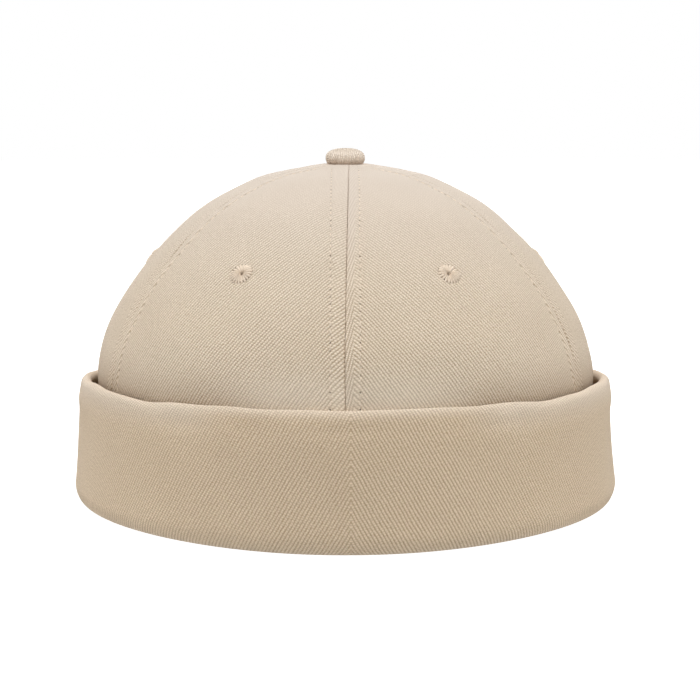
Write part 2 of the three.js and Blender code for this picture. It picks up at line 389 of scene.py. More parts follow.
    def _needle_holes(self, tree: Tree) -> Socket:
        """Draws the needle's holes along the stitch rows, some open and some nearly closed.

        Args:
            tree: The material's node tree.

        Returns:
            1 in an open hole, 0 elsewhere.
        """
        place = add_node(tree, "NodeUVMap", output="UV", uv_map=STITCH_MAP)
        beside, along, _ = add_node(tree, "NodeSeparateXYZ", {"Vector": place}).node.outputs
        near = add_node(tree, "NodeMath", {0: along, 1: self.needle_pitch / 2}, operation="PINGPONG")
        away = add_node(tree, "NodeCombineXYZ", {"X": beside, "Y": near})
        away = add_node(tree, "NodeVectorMath", {0: away}, "Value", operation="LENGTH")
        hole = {"Value": away, "From Min": self.needle_hole, "From Max": 0.1}
        hole = add_node(tree, "NodeMapRange", hole, interpolation_type="SMOOTHSTEP")
        number = add_node(tree, "NodeMath", {0: along, 1: self.needle_pitch}, operation="DIVIDE")
        number = add_node(tree, "NodeMath", {0: number}, operation="ROUND")
        openness = add_node(tree, "NodeTexWhiteNoise", {"W": number}, noise_dimensions="1D")
        return add_node(tree, "NodeMath", {0: hole, 1: openness}, operation="MULTIPLY")


@dataclass(frozen=True)
class SewingThread:
    """Spun cotton sewing thread: matt, in the cloth's own colour, with a fine twist that shades it."""

    name: str
    light: str
    dark: str
    pit: str = "#7a654e"
    twist_pitch: float = 0.5
    roughness: float = 0.88

    def material(self) -> Finish:
        """Builds the thread from its twist, whose 0.5 mm turns shade the strands, and paints shade into the
        eyelets' notches.

        Returns:
            The finished material.
        """
        made, tree = new_material(self.name)
        place = add_node(tree, "NodeUVMap", output="UV", uv_map=CLOTH_MAP)
        twist = {0: place, 1: (2 * math.pi / self.twist_pitch, 1.6 * math.pi / self.twist_pitch, 0.0)}
        twist = add_node(tree, "NodeVectorMath", twist, "Value", operation="DOT_PRODUCT")
        strands = add_node(tree, "NodeMath", {0: twist}, operation="SINE")
        fibres = add_node(tree, "NodeTexNoise", {"Vector": place, "Scale": 1.4, "Detail": 3.0})
        tone = {0: strands, 1: 0.2, 2: fibres}
        tone = add_node(tree, "NodeMath", tone, operation="MULTIPLY_ADD", use_clamp=True)
        colours = {0: tone, 6: linear(self.dark), 7: linear(self.light)}
        colours = add_node(tree, "NodeMix", colours, 2, data_type="RGBA")
        # Painted shade: the thread darkens to the pit colour where the eyelets' notches sink.
        pit_shade_mask = add_node(tree, "NodeUVMap", output="UV", uv_map=STITCH_MAP)
        pit_shade_mask = {0: add_node(tree, "NodeSeparateXYZ", {"Vector": pit_shade_mask}), 6: colours, 7: linear(self.pit)}
        bump = {"Height": tone, "Strength": 0.6, "Distance": 0.1 * METRES}
        surface = {
            "Base Color": add_node(tree, "NodeMix", pit_shade_mask, 2, data_type="RGBA"),
            "Normal": add_node(tree, "NodeBump", bump), "Roughness": self.roughness,
            "Specular IOR Level": 0.25, "Sheen Weight": 0.1,
        }
        add_node(tree, "NodeOutputMaterial", {"Surface": add_node(tree, "NodeBsdfPrincipled", surface)})
        return made


@dataclass(frozen=True)
class SideRow:
    """One row of the crown's side: shares of its height, half width and fullness."""

    rise: float
    reach: float
    fullness: float


CROWN_SIDE = (
    SideRow(0.0, 1.0, 0.0), SideRow(0.17, 1.0, 0.0), SideRow(0.3, 0.997, 0.35), SideRow(0.394, 0.995, 0.8),
    SideRow(0.493, 0.96, 1.0), SideRow(0.592, 0.893, 1.0), SideRow(0.691, 0.803, 0.95),
    SideRow(0.79, 0.68, 0.85), SideRow(0.859, 0.568, 0.7), SideRow(0.918, 0.43, 0.5),
    SideRow(0.957, 0.29, 0.25), SideRow(0.984, 0.095, 0.05), SideRow(0.988, 0.0, 0.0),
)


@dataclass(frozen=True)
class Seam:
    """A seam of the crown: degrees from the centre front, and its depth as a share of the draw."""

    degrees: float
    depth: float


CENTRE_FRONT = Seam(0.0, 0.2)
SIDE_FRONT = Seam(64.5, 1.0)
SIDE_BACK = Seam(122.0, 0.8)
CENTRE_BACK = Seam(180.0, 0.4)


@dataclass
class CrownForm:
    """The smooth dome under the crown's cloth, with the same sizes as the solids."""

    half_width: float = 89.5
    half_length: float = 94.5
    height: float = 121.0
    cloth: float = 1.6
    seam_draw: float = 1.3
    seam_sharpness: float = 5.0
    seam_gap: float = 0.09
    hem_height: float = 2.5
    tip_radius: float = 2.7
    front_fold_lean: float = 1.35
    fold_lean_start: float = 0.5
    fold_lean_growth: float = 1.6
    samples: int = 6001
    places: dict = field(init=False)

    def __post_init__(self) -> None:
        """Samples the side curve and its length."""
        places = np.linspace(0, 1, self.samples)
        reach, rise, fullness = (
            self._curve(places, [getattr(row, name) for row in CROWN_SIDE])
            for name in ("reach", "rise", "fullness")
        )
        steps = np.hypot(np.diff(reach) * self.mean_half, np.diff(rise) * self.height)
        arc = np.concatenate([[0.0], np.cumsum(steps)])
        self.places = {
            "arc": arc, "reach": reach, "rise": rise, "fullness": np.maximum(0.0, fullness),
            "reach_slope": np.gradient(reach, arc), "rise_slope": np.gradient(rise, arc),
        }

    @property
    def mean_half(self) -> float:
        """The mean of its half width and its half length."""
        return (self.half_width + self.half_length) / 2

    @staticmethod
    def _curve(places: Array, values: list) -> Array:
        """Runs a smooth curve through evenly spaced values.

        Args:
            places: Where to read it, 0 to 1.
            values: The values that it passes through.

        Returns:
            The curve at those places.
        """
        knots = np.array([values[0], *values, values[-1]])
        scaled = places * (len(values) - 1)
        left = np.minimum(scaled.astype(int), len(values) - 2)
        t = scaled - left
        before, first, second, after = (knots[left + i] for i in range(4))
        start, end = (second - before) / 2, (after - first) / 2
        cubic = 2 * first - 2 * second + start + end
        square = -3 * first + 3 * second - 2 * start - end
        return cubic * t**3 + square * t**2 + start * t + first

    def read(self, name: str, arc: Array) -> Array:
        """Reads one quantity of the side at distances up the cloth from the table."""
        return np.interp(arc, self.places["arc"], self.places[name])

    def radius(self, arc: Array) -> Array:
        """Gives the dome's half width at distances up the cloth."""
        return self.read("reach", arc) * self.half_width

    def arc_at_rise(self, rise: float) -> float:
        """Gives the distance up the cloth at a share of the height."""
        return float(np.interp(rise, self.places["rise"], self.places["arc"]))

    def arc_at_radius(self, radius: float) -> float:
        """Gives the distance up the cloth at a distance from the axis, near the tip."""
        reach = self.places["reach"][::-1]
        return float(np.interp(radius / self.half_width, reach, self.places["arc"][::-1]))

    def fold_lean(self, arc: Array) -> Array:
        """Gives how far the front seam's folded edge lies to the right, in millimetres, more near the tip."""
        above = (self.read("rise", arc) - self.fold_lean_start) / (1 - self.fold_lean_start)
        return self.front_fold_lean * np.maximum(0.0, above) ** self.fold_lean_growth

    def speed(self, azimuth: float | Array) -> float | Array:
        """Gives the distance round the hem for each radian at an azimuth."""
        return np.hypot(self.half_width * np.cos(azimuth), self.half_length * np.sin(azimuth))

    def dome(self, azimuth: Array, arc: Array) -> Pair:
        """Finds points of the smooth dome.

        Args:
            azimuth: Radians from the front.
            arc: Distance up the cloth in millimetres.

        Returns:
            The points, and the outward directions there.
        """
        reach, rise = self.read("reach", arc), self.read("rise", arc)
        slope_in, slope_up = self.read("reach_slope", arc), self.read("rise_slope", arc)
        sine, cosine = np.sin(azimuth), np.cos(azimuth)
        zero = np.zeros(np.broadcast(azimuth, arc).shape)
        a, b, h = self.half_width, self.half_length, self.height
        points = np.stack([a * reach * sine, -b * reach * cosine, h * rise + zero], axis=-1)
        around = np.stack([a * cosine + zero, b * sine + zero, zero], axis=-1)
        upward = np.stack([a * slope_in * sine, -b * slope_in * cosine, h * slope_up + zero], axis=-1)
        outward = np.cross(around, upward)
        return points, outward / np.linalg.norm(outward, axis=-1, keepdims=True)


@dataclass
class CrownPanel:
    """One cloth panel of the crown, turned in at its seams and lying on the seams' allowances."""

    name: str
    side: Side
    front: Seam
    back: Seam
    eyelet_share: float
    form: CrownForm
    eyelet_rise: float = 0.711
    eyelet_hole: float = 3.85
    eyelet_dimple: float = 0.35
    dimple_radius: float = 4.2
    eyelet_pucker: float = 0.1
    eyelet_rim: float = 4.3
    hole_steps: int = 32
    cut_depth: float = 4.0
    cut_height: float = 3.0
    edge_round: float = 0.4
    band_raise: float = 0.28
    band_step: float = 1.1
    band_middle: float = 2.4
    stitch_offset: float = 4.75
    stitch_pitch: float = 2.7
    groove_depth: float = 0.3
    groove_width: float = 0.5
    pucker: float = 0.1
    pucker_width: float = 1.3
    pucker_seed: int = 21
    unevenness: float = 0.28
    softness: SoftWaves = SoftWaves(5, 22.0, 60.0)
    ruffle: SoftWaves = SoftWaves(8, 0.5, 1.2)
    calm_radius: float = 4.0
    lively_radius: float = 18.0
    button_press: float = 0.3
    button_reach: float = 8.6
    rows: int = 225
    inner_columns: int = 45
    coarse: int = 4
    band_shear: float = 0.72
    strip_width: float = 2.3
    strip_degrees: float = 75.0
    strip_pitch: float = 0.85
    hole_stop_radius: float = 11.0
    side_hole_narrowing: float = 2.0
    # Distances of the grid's columns from each seam, close together where the cloth bends.
    margin: tuple = (
        0, 0.12, 0.3, 0.55, 0.85, 1.2, 1.6, 2.0, 2.6, 3.3, 3.9, 4.3, 4.6, 4.8, 5.1, 5.6, 6.4, 7.6,
    )

    def node(self, kind: str) -> str:
        """Names the node of its panel or of its eyelet."""
        return f"{kind}_{self.name}_{self.side.word}"

    @property
    def at_front(self) -> bool:
        """True for the two panels that meet at the centre front."""
        return self.front is CENTRE_FRONT

    @property
    def seam_angles(self) -> tuple[float, float]:
        """The azimuths of its two seams in radians, the lower one first."""
        ends = [self.side.value * math.radians(seam.degrees) for seam in (self.front, self.back)]
        return min(ends), max(ends)

    @property
    def seam_depths(self) -> tuple[float, float]:
        """The depths of its two seams in the same order."""
        depths = self.front.depth, self.back.depth
        return depths if self.side is Side.RIGHT else depths[::-1]

    @property
    def eyelet_azimuth(self) -> float:
        """The azimuth of its eyelet in radians."""
        front, back = math.radians(self.front.degrees), math.radians(self.back.degrees)
        return self.side.value * (front + (back - front) * self.eyelet_share)

    def steps(self, arc: Array) -> Pair:
        """Gives the millimetres of cloth for each radian at its two edges."""
        reach = self.form.read("reach", arc)
        return tuple(reach * self.form.speed(angle) for angle in self.seam_angles)

    def leans(self, arc: Array) -> Pair:
        """Finds how far its two edges lean to the right, which only the front seam does.

        Args:
            arc: Distance up the cloth in millimetres.

        Returns:
            The lean of each edge in millimetres, the lower one in azimuth first.
        """
        lean, none = self.form.fold_lean(arc), 0.0 * arc
        if not self.at_front:
            return none, none
        return (lean, none) if self.side is Side.RIGHT else (none, lean)

    def edges(self, arc: Array) -> Pair:
        """Finds its two edges, which close up towards the tip.

        Args:
            arc: Distance up the cloth in millimetres.

        Returns:
            The azimuth of each edge in radians, the lower one first.
        """
        half_gap = self.form.seam_gap / 2 * smooth_step(2.5 * self.form.read("reach", arc) - 0.25)
        (start, end), leans, steps = self.seam_angles, self.leans(arc), self.steps(arc)
        return start + (half_gap + leans[0]) / steps[0], end + (leans[1] - half_gap) / steps[1]

    def width(self, arc: Array) -> Array:
        """Gives its width over the cloth."""
        first, last = self.edges(arc)
        return (last - first) * self.form.read("reach", arc) * self.form.mean_half

    def distances(self, azimuth: Array, arc: Array) -> Pair:
        """Gives the distances over the cloth from its two edges, in millimetres."""
        (first, last), steps = self.edges(arc), self.steps(arc)
        return (azimuth - first) * steps[0], (last - azimuth) * steps[1]

    def row_offsets(self, arc: Array) -> Pair:
        """Gives how far the stitch rows lie from the two edges, less where the panel is narrow."""
        offset, leans = np.minimum(self.stitch_offset, 0.4 * self.width(arc)), self.leans(arc)
        return offset - leans[0], offset + leans[1]

    def sink(self, azimuth: Array, arc: Array) -> Array:
        """Finds how far the whole cloth is drawn in towards its seams, as in the solids.

        Args:
            azimuth: Radians from the front.
            arc: Distance up the cloth in millimetres.

        Returns:
            The depth below the dome in millimetres.
        """
        (first, last), (front, back) = self.edges(arc), self.seam_depths
        across = np.clip((azimuth - first) / (last - first), 0, 1)
        drawn = front * (1 - across) ** self.form.seam_sharpness + back * across**self.form.seam_sharpness
        return self.form.seam_draw * drawn * self.form.read("fullness", arc)

    def relief(self, azimuth: Array, arc: Array) -> Array:
        """Gives the fine relief of the sewn cloth: edges, bands, grooves, puckers and softness.

        Args:
            azimuth: Radians from the front.
            arc: Distance up the cloth in millimetres.

        Returns:
            Height above the drawn-in dome in millimetres.
        """
        height = np.zeros(np.broadcast(azimuth, arc).shape)
        radius = self.form.radius(arc)
        lively = smooth_step((radius - self.calm_radius) / (self.lively_radius - self.calm_radius))
        pitch_wave = np.cos(2 * math.pi * arc / self.stitch_pitch)
        offsets = self.row_offsets(arc)
        for number, (distance, offset) in enumerate(zip(self.distances(azimuth, arc), offsets)):
            short = np.clip(self.edge_round - distance, 0, self.edge_round)
            fall = self.edge_round - np.sqrt(np.maximum(0.0, self.edge_round**2 - short**2))
            height -= fall * (0.25 + 0.75 * lively)
            height += self.band_raise * smooth_step((offset + 0.5 - distance) / self.band_step) * lively
            groove = hump(distance, offset, self.groove_width) * (0.7 + 0.3 * pitch_wave)
            height -= self.groove_depth * groove
            uneven = SoftWaves(self.pucker_seed + number, 5.0, 11.0).at(arc * 1.0, 3.0 * number)
            beside = hump(distance - offset, 1.4, self.pucker_width)
            beside = beside + 0.6 * hump(distance, self.band_middle, self.pucker_width)
            height += self.pucker * beside * (0.5 * pitch_wave + uneven) * lively
        height -= self.button_press * smooth_step((self.button_reach - radius) / 2.5)
        sideways = (azimuth - sum(self.seam_angles) / 2) * radius
        height += self.unevenness * self.softness.at(sideways, arc) * lively
        right, up = (azimuth - self.eyelet_azimuth) * radius, arc - self.form.arc_at_rise(self.eyelet_rise)
        away, around = np.hypot(right, up), np.arctan2(up, right + 1e-9)
        height -= self.eyelet_dimple * hump(away, 0.0, self.dimple_radius)
        ruffle = self.ruffle.at(np.cos(around), np.sin(around))
        return height + self.eyelet_pucker * hump(away, self.eyelet_rim, 0.9) * ruffle

    def surface(self, azimuth: Array, arc: Array) -> Pair:
        """Finds points of the panel's outside.

        Args:
            azimuth: Radians from the front.
            arc: Distance up the cloth in millimetres.

        Returns:
            The points, and the dome's outward directions there.
        """
        points, outward = self.form.dome(azimuth, arc)
        lift = self.relief(azimuth, arc) - self.sink(azimuth, arc)
        return points + outward * lift[..., None], outward

    def _columns(self, arcs: Array) -> Array:
        """Lays out the azimuths of the grid's columns, close together by the seams.

        Args:
            arcs: Distance up the cloth of each row.

        Returns:
            Azimuths, rows by columns.
        """
        (first, last), steps, offsets = self.edges(arcs), self.steps(arcs), np.array(self.margin)
        scale = np.minimum(1.0, 0.46 * self.width(arcs) / offsets[-1])[:, None]
        left = first[:, None] + offsets * scale / steps[0][:, None]
        right = last[:, None] - offsets[::-1] * scale / steps[1][:, None]
        share = np.linspace(0, 1, self.inner_columns + 2)[1:-1]
        return np.concatenate([left, between(left[:, -1:], right[:, :1], share), right], axis=1)

    def _cloth_place(self, azimuth: Array, arc: Array) -> Array:
        """Maps points to the flat cloth, mirrored on the right half, with the ribs sheared at the seams.

        Args:
            azimuth: Azimuths, rows by columns.
            arc: Distance up the cloth, in the same layout.

        Returns:
            Two coordinates in millimetres for each point.
        """
        middle = sum(self.seam_angles) / 2
        flat = (azimuth - middle) * self.form.read("reach", arc) * self.form.mean_half
        for sign, distance in zip((1, -1), self.distances(azimuth, arc)):
            inside = np.clip(self.stitch_offset - distance, 0, self.stitch_offset)
            flat = flat + sign * inside * (1 - self.band_shear)
        return np.stack([-self.side.value * flat, arc], axis=-1)

    def _stitch_place(self, azimuth: Array, arc: Array) -> Array:
        """Maps points to the nearer stitch row, on which the holes of all but the front seam are narrower.

        Args:
            azimuth: Azimuths, rows by columns.
            arc: Distance up the cloth, in the same layout.

        Returns:
            The distance beside the row and the distance up the cloth of each point.
        """
        beside = [d - o for d, o in zip(self.distances(azimuth, arc), self.row_offsets(arc))]
        front_seam = 0 if self.side is Side.RIGHT else 1
        beside = [
            row if self.at_front and number == front_seam else row * self.side_hole_narrowing
            for number, row in enumerate(beside)
        ]
        nearer = np.where(np.abs(beside[0]) < np.abs(beside[1]), *beside)
        near_tip = self.form.radius(arc) < self.hole_stop_radius
        return np.stack([np.where(near_tip, self.stitch_offset, nearer), arc], axis=-1)

    def build(self, finish: Finish) -> Piece:
        """Builds the panel as a closed shell of cloth with a hole at its eyelet.

        Args:
            finish: Its twill.

        Returns:
            The object.
        """
        form = self.form
        hem, tip = form.arc_at_rise(form.hem_height / form.height), form.arc_at_radius(form.tip_radius)
        arcs = np.linspace(hem, tip, self.rows)
        azimuth = self._columns(arcs)
        arc = np.broadcast_to(arcs[:, None], azimuth.shape)
        coarse = [grid[:: self.coarse, :: self.coarse] for grid in (azimuth, arc)]
        outer, _ = self.surface(azimuth, arc)
        base, outward = form.dome(*coarse)
        inner = base - outward * (self.sink(*coarse) + form.cloth)[..., None]
        faces = grid_faces(*azimuth.shape)
        faces += [quad[::-1] for quad in grid_faces(*coarse[0].shape, azimuth.size)]
        faces += self._border(*azimuth.shape, *coarse[0].shape)
        points = np.concatenate([outer.reshape(-1, 3), inner.reshape(-1, 3)])
        maps = {
            name: np.concatenate([place(azimuth, arc).reshape(-1, 2), place(*coarse).reshape(-1, 2)])
            for name, place in ((CLOTH_MAP, self._cloth_place), (STITCH_MAP, self._stitch_place))
        }
        panel = make_piece(self.node("panel"), points, faces, maps, finish)
        if self.at_front and self.side is Side.RIGHT:
            self._turn_strip(panel.data, azimuth, arc)
        self._cut_eyelet(panel)
        return panel

    def _turn_strip(self, mesh: bpy.types.Mesh, azimuth: Array, arc: Array) -> None:
        """Turns the weave almost along the narrow strip where the cloth rolls into the front seam.

        Args:
            mesh: The panel's mesh.
            azimuth: Azimuths of its outside, rows by columns.
            arc: Distance up the cloth, in the same layout.
        """
        within = sum(1 for offset in self.margin if offset < self.strip_width)
        strip = np.arange(self.rows - 1)[:, None] * (azimuth.shape[1] - 1) + np.arange(within)
        loops = (strip.reshape(-1, 1) * 4 + np.arange(4)).ravel()
        corners = np.empty(len(mesh.loops), dtype=np.int32)
        mesh.loops.foreach_get("vertex_index", corners)
        distance, _ = self.distances(azimuth, arc)
        flat = np.stack([distance.ravel(), arc.ravel()], axis=-1)[corners[loops]]
        turn = math.radians(RIB_DEGREES - self.strip_degrees)
        spin = np.array([[math.cos(turn), -math.sin(turn)], [math.sin(turn), math.cos(turn)]])
        uv = np.empty(len(mesh.loops) * 2, dtype=np.float32)
        mesh.uv_layers[CLOTH_MAP].data.foreach_get("uv", uv)
        uv.reshape(-1, 2)[loops] = flat @ spin.T / self.strip_pitch
        mesh.uv_layers[CLOTH_MAP].data.foreach_set("uv", uv)

    def _border(self, rows: int, columns: int, inner_rows: int, inner_columns: int) -> list:
        """Closes the shell along its four edges.

        Args:
            rows: Rows of the outside.
            columns: Columns of the outside.
            inner_rows: Rows of the inside.
            inner_columns: Columns of the inside.

        Returns:
            The faces, each one joining several outside steps to one inside step.
        """
        faces, step, start = [], self.coarse, rows * columns
        for i in range(inner_rows - 1):
            run = [(i * step + k) * columns for k in range(step + 1)]
            low, high = start + i * inner_columns, start + (i + 1) * inner_columns
            faces.append([*run, high, low])
            edge = inner_columns - 1
            faces.append([*[r + columns - 1 for r in reversed(run)], low + edge, high + edge])
        top_row = (rows - 1) * columns
        top_inner = start + (inner_rows - 1) * inner_columns
        for j in range(inner_columns - 1):
            run = [j * step + k for k in range(step + 1)]
            faces.append([*reversed(run), start + j, start + j + 1])
            faces.append([*[top_row + r for r in run], top_inner + j + 1, top_inner + j])
        return faces

    def _cut_eyelet(self, panel: Piece) -> None:
        """Cuts the hole that the sewn eyelet fills.

        Args:
            panel: The closed panel.
        """
        seat, outward, sideways, upward = self.eyelet_seat()
        turns = full_turn(self.hole_steps)[:, None]
        ring = self.eyelet_hole * (np.cos(turns) * sideways + np.sin(turns) * upward)
        points = np.concatenate([
            seat - self.cut_depth * outward + ring, seat + self.cut_height * outward + ring,
        ])
        count = len(turns)
        faces = grid_faces(2, count, closed=True)
        faces += [list(range(count))[::-1], list(range(count, 2 * count))]
        maps = {name: np.zeros((2 * count, 2)) for name in (CLOTH_MAP, STITCH_MAP)}
        cutter = make_piece("cutter", points, faces, maps, panel.data.materials[0])
        cut = panel.modifiers.new("eyelet hole", "BOOLEAN")
        cut.operation, cut.solver, cut.object = "DIFFERENCE", "EXACT", cutter
        whole = panel.data
        pierced = panel.evaluated_get(bpy.context.evaluated_depsgraph_get())
        panel.data = bpy.data.meshes.new_from_object(pierced)
        panel.modifiers.clear()
        bpy.data.objects.remove(cutter)
        bpy.data.meshes.remove(whole)

    def eyelet_seat(self) -> tuple[Array, Array, Array, Array]:
        """Finds where its eyelet sits.

        Returns:
            The eyelet's centre on the cloth, and its outward, sideways and upward directions.
        """
        arc = self.form.arc_at_rise(self.eyelet_rise)
        (seat,), (outward,) = self.form.dome(np.array([self.eyelet_azimuth]), np.array([arc]))
        sideways = np.cross([0.0, 0.0, 1.0], outward)
        sideways /= np.linalg.norm(sideways)
        return seat, outward, sideways, np.cross(outward, sideways)


@dataclass
class SewnEyelet:
    """An embroidered air eyelet: close radial stitches round a small hole, drawn tight at their ends."""

    panel: CrownPanel
    seed: int
    radius: float = 4.1
    hole: float = 0.5
    height: float = 0.42
    threads: int = 20
    thread_relief: float = 0.2
    end_depth: float = 1.6
    end_gap: float = 0.24
    lobe_height: float = 0.16
    lobe_degrees: float = 38.0
    raggedness: float = 0.28
    steps_round: int = 240
    steps_out: int = 30
    sink: float = 0.12
    depth: float = 1.9
    hole_shift: float = 0.5
    cloth_bend: float = 95.0

    def build(self, finish: Finish) -> Piece:
        """Builds the worked ring, its hole's wall and a plain back.

        Args:
            finish: Its thread.

        Returns:
            The object.
        """
        turn = full_turn(self.steps_round)
        share = np.linspace(0, 1, self.steps_out)[:, None]
        radius, height, notch = self._stitches(turn, share)
        front = self._ring(radius, height, turn, self.hole_shift * (1 - share))
        back_share = np.array([0.0, 0.12, 0.5, 0.88, 1.0])[:, None]
        back_radius = between(self.hole, self.radius - 0.6, back_share[::-1]) + 0 * turn
        back_height = -self.depth - 0.3 * np.sin(math.pi * back_share) + 0 * turn
        back = self._ring(back_radius, back_height, turn, self.hole_shift * back_share)
        points = np.concatenate([front, back])
        rows = len(points)
        faces = grid_faces(rows, self.steps_round, closed=True)
        last = (rows - 1) * self.steps_round
        for i in range(self.steps_round):
            j = (i + 1) % self.steps_round
            faces.append([last + i, last + j, j, i])
        if self.panel.side is Side.RIGHT:
            faces = [face[::-1] for face in faces]
        spread = np.linspace(0, 10, rows)[:, None] + 0 * turn
        places = np.stack([np.broadcast_to(turn * 3.0, spread.shape), spread], axis=-1)
        # The notches' depth also goes to the thread, as the mask of its painted shade.
        pit_shade_mask = np.zeros((rows, self.steps_round, 2))
        pit_shade_mask[: self.steps_out, :, 0] = notch
        maps = {CLOTH_MAP: places, STITCH_MAP: pit_shade_mask}
        return make_piece(self.panel.node("eyelet"), points, faces, maps, finish)

    def _stitches(self, turn: Array, share: Array) -> tuple[Array, Array, Array]:
        """Shapes the stitches, each one swelling between its neighbours and drawn in at its end.

        Args:
            turn: Angles round the eyelet.
            share: Shares of the way from the hole to the stitches' ends, one row each.

        Returns:
            Radius, height, and depth of the notches at the ends, all shares by angles.
        """
        chance = np.random.default_rng(self.seed)
        thread = np.floor(turn / (2 * math.pi) * self.threads).astype(int)
        within = turn / (2 * math.pi) * self.threads - thread
        swell = np.sin(math.pi * within) ** 0.6
        lift = chance.normal(0, 0.4, self.threads)[thread]
        ends = self.radius + self.raggedness * chance.uniform(-1, 0.6, self.threads)[thread]
        hole = self.hole * (1 + 0.15 * chance.normal(0, 1, self.threads)[thread])
        crown = np.sin(math.pi * np.clip(share * 0.9 + 0.1, 0, 1) ** 0.7)
        held = np.sin(math.pi * np.clip(share, 0.05, 0.97)) ** 0.5
        ridge = self.thread_relief * (swell * 2 - 1 + lift) * held
        lobe_turn = 2 * (turn - math.radians(self.lobe_degrees))
        lobes = self.lobe_height * np.cos(lobe_turn) * np.sin(math.pi * share)
        funnel = -0.5 * hump(share, 0.0, 0.09)
        open_ends = (0.45 - 0.55 * np.sin(turn)) * chance.uniform(0.5, 1.0, self.threads)[thread]
        apart = 1 - smooth_step(np.minimum(within, 1 - within) / self.end_gap)
        notch = apart * np.clip(open_ends, 0.08, 1.0) * smooth_step((share - 0.68) / 0.18)
        height = self.height * crown + ridge + lobes + funnel - self.end_depth * notch - self.sink
        return between(hole, ends, share), height, notch

    def _ring(self, radius: Array, height: Array, turn: Array, shift: Array) -> Array:
        """Places points on the eyelet's seat, mirrored on the right half.

        Args:
            radius: Distance from the eyelet's middle.
            height: Height over the cloth.
            turn: Angle round the middle.
            shift: How far the points move sideways, towards the cap's middle.

        Returns:
            The points in millimetres.
        """
        seat, outward, sideways, upward = self.panel.eyelet_seat()
        x, y = -self.panel.side.value * (radius * np.cos(turn) + shift), radius * np.sin(turn)
        bent = height - (x**2 + y**2) / (2 * self.cloth_bend)
        return seat + x[..., None] * sideways + y[..., None] * upward + bent[..., None] * outward


@dataclass
class TopStitching:
    """The two stitch rows beside one seam, each stitch a short sunk strand."""

    name: str
    sides: tuple
    length: float = 2.15
    width: float = 0.42
    thickness: float = 0.34
    lift: float = -0.02
    end_dip: float = 0.42
    start_rise: float = 0.2
    stop_radius: float = 11.0
    steps: int = 7
    strands: int = 8

    def build(self, finish: Finish) -> Piece:
        """Builds the rows as one mesh.

        Args:
            finish: Their thread.

        Returns:
            The object.
        """
        points, faces, places = [], [], []
        for panel, at_start in self.sides:
            low, high = panel.form.arc_at_rise(self.start_rise), panel.form.arc_at_radius(self.stop_radius)
            for number in range(math.ceil(low / panel.stitch_pitch), int(high / panel.stitch_pitch)):
                centre = (number + 0.5) * panel.stitch_pitch
                faces += self._faces(len(points) * self.steps * self.strands)
                points.append(self._stitch(panel, at_start, centre))
                along = np.linspace(0, self.length, self.steps)[:, None] + centre
                around = np.linspace(0, 1.2, self.strands) + 0 * along
                places.append(np.stack([around, along + 0 * around], axis=-1))
        maps = {CLOTH_MAP: np.concatenate(places)}
        return make_piece(self.name, np.concatenate(points), faces, maps, finish)

    def _stitch(self, panel: CrownPanel, at_start: bool, centre: float) -> Array:
        """Shapes one stitch.

        Args:
            panel: The panel that it lies on.
            at_start: True at the panel's lower edge in azimuth.
            centre: Distance of its middle up the cloth.

        Returns:
            Points, steps by strands.
        """
        t = np.linspace(-1, 1, self.steps)
        arc = centre + t * self.length / 2
        edge, inward = (0, 1) if at_start else (1, -1)
        azimuth = panel.edges(arc)[edge] + inward * panel.row_offsets(arc)[edge] / panel.steps(arc)[edge]
        middle, outward = panel.surface(azimuth, arc)
        along = np.gradient(middle, axis=0)
        along /= np.linalg.norm(along, axis=1, keepdims=True)
        sideways = np.cross(along, outward)[:, None, :]
        dip = self.lift - self.end_dip * np.abs(t) ** 3
        slim = np.sqrt(np.maximum(0.02, 1 - np.abs(t) ** 3.5))
        turn = full_turn(self.strands)[None, :, None]
        ring = np.cos(turn) * sideways * self.width / 2
        ring = ring + np.sin(turn) * outward[:, None, :] * self.thickness / 2
        return middle[:, None, :] + outward[:, None, :] * dip[:, None, None] + ring * slim[:, None, None]

    def _faces(self, start: int) -> list:
        """Lists one stitch's faces, with its two ends closed.

        Args:
            start: Number of its first point.

        Returns:
            The faces as lists of point numbers.
        """
        faces = grid_faces(self.steps, self.strands, start, closed=True)
        last = start + (self.steps - 1) * self.strands
        faces.append(list(range(start, start + self.strands))[::-1])
        faces.append(list(range(last, last + self.strands)))
        return faces


@dataclass
class Crown:
    """The six panels with their eyelets and the stitching beside each seam."""

    form: CrownForm
    panels: list = field(init=False)

    def __post_init__(self) -> None:
        """Lays out the panels of both halves."""
        kinds = (
            ("front", CENTRE_FRONT, SIDE_FRONT, 0.455), ("side", SIDE_FRONT, SIDE_BACK, 0.5),
            ("back", SIDE_BACK, CENTRE_BACK, 0.5),
        )
        self.panels = [
            CrownPanel(name, side, front, back, share, self.form)
            for side in Side for name, front, back, share in kinds
        ]

    def build(self, cloth: Finish, thread: Finish) -> None:
        """Builds every piece of the crown and hands it to the frame.

        Args:
            cloth: The panels' twill.
            thread: The thread of the eyelets and the stitching.
        """
        for number, panel in enumerate(self.panels):
            hand_over(panel.build(cloth), panel.node("panel"))
            eyelet = SewnEyelet(panel, seed=40 + number % 3).build(thread)
            hand_over(eyelet, panel.node("eyelet"))
        for name, sides in self._seam_sides().items():
            hand_over(TopStitching(name, sides).build(thread), None)

    def _seam_sides(self) -> dict:
        """Pairs the two panels at each seam.

        Returns:
            For each seam's stitching, its two panels, each with True where its lower edge meets the seam.
        """
        named = {(panel.name, panel.side): panel for panel in self.panels}
        left, right = Side.LEFT, Side.RIGHT
        pairs = {
            "stitching_centre_front": ((named["front", left], False), (named["front", right], True)),
            "stitching_centre_back": ((named["back", left], True), (named["back", right], False)),
        }
        for side in Side:
            outer = side is right
            for seam, before, after in (("front", "front", "side"), ("back", "side", "back")):
                ends = (named[before, side], not outer), (named[after, side], outer)
                pairs[f"stitching_side_{seam}_{side.word}"] = ends
        return pairs


@dataclass(frozen=True)
class Wave:
    """A soft wave round the cuff: its azimuth and half span in degrees, and its size as a share."""

    degrees: float
    half_span: float
    size: float


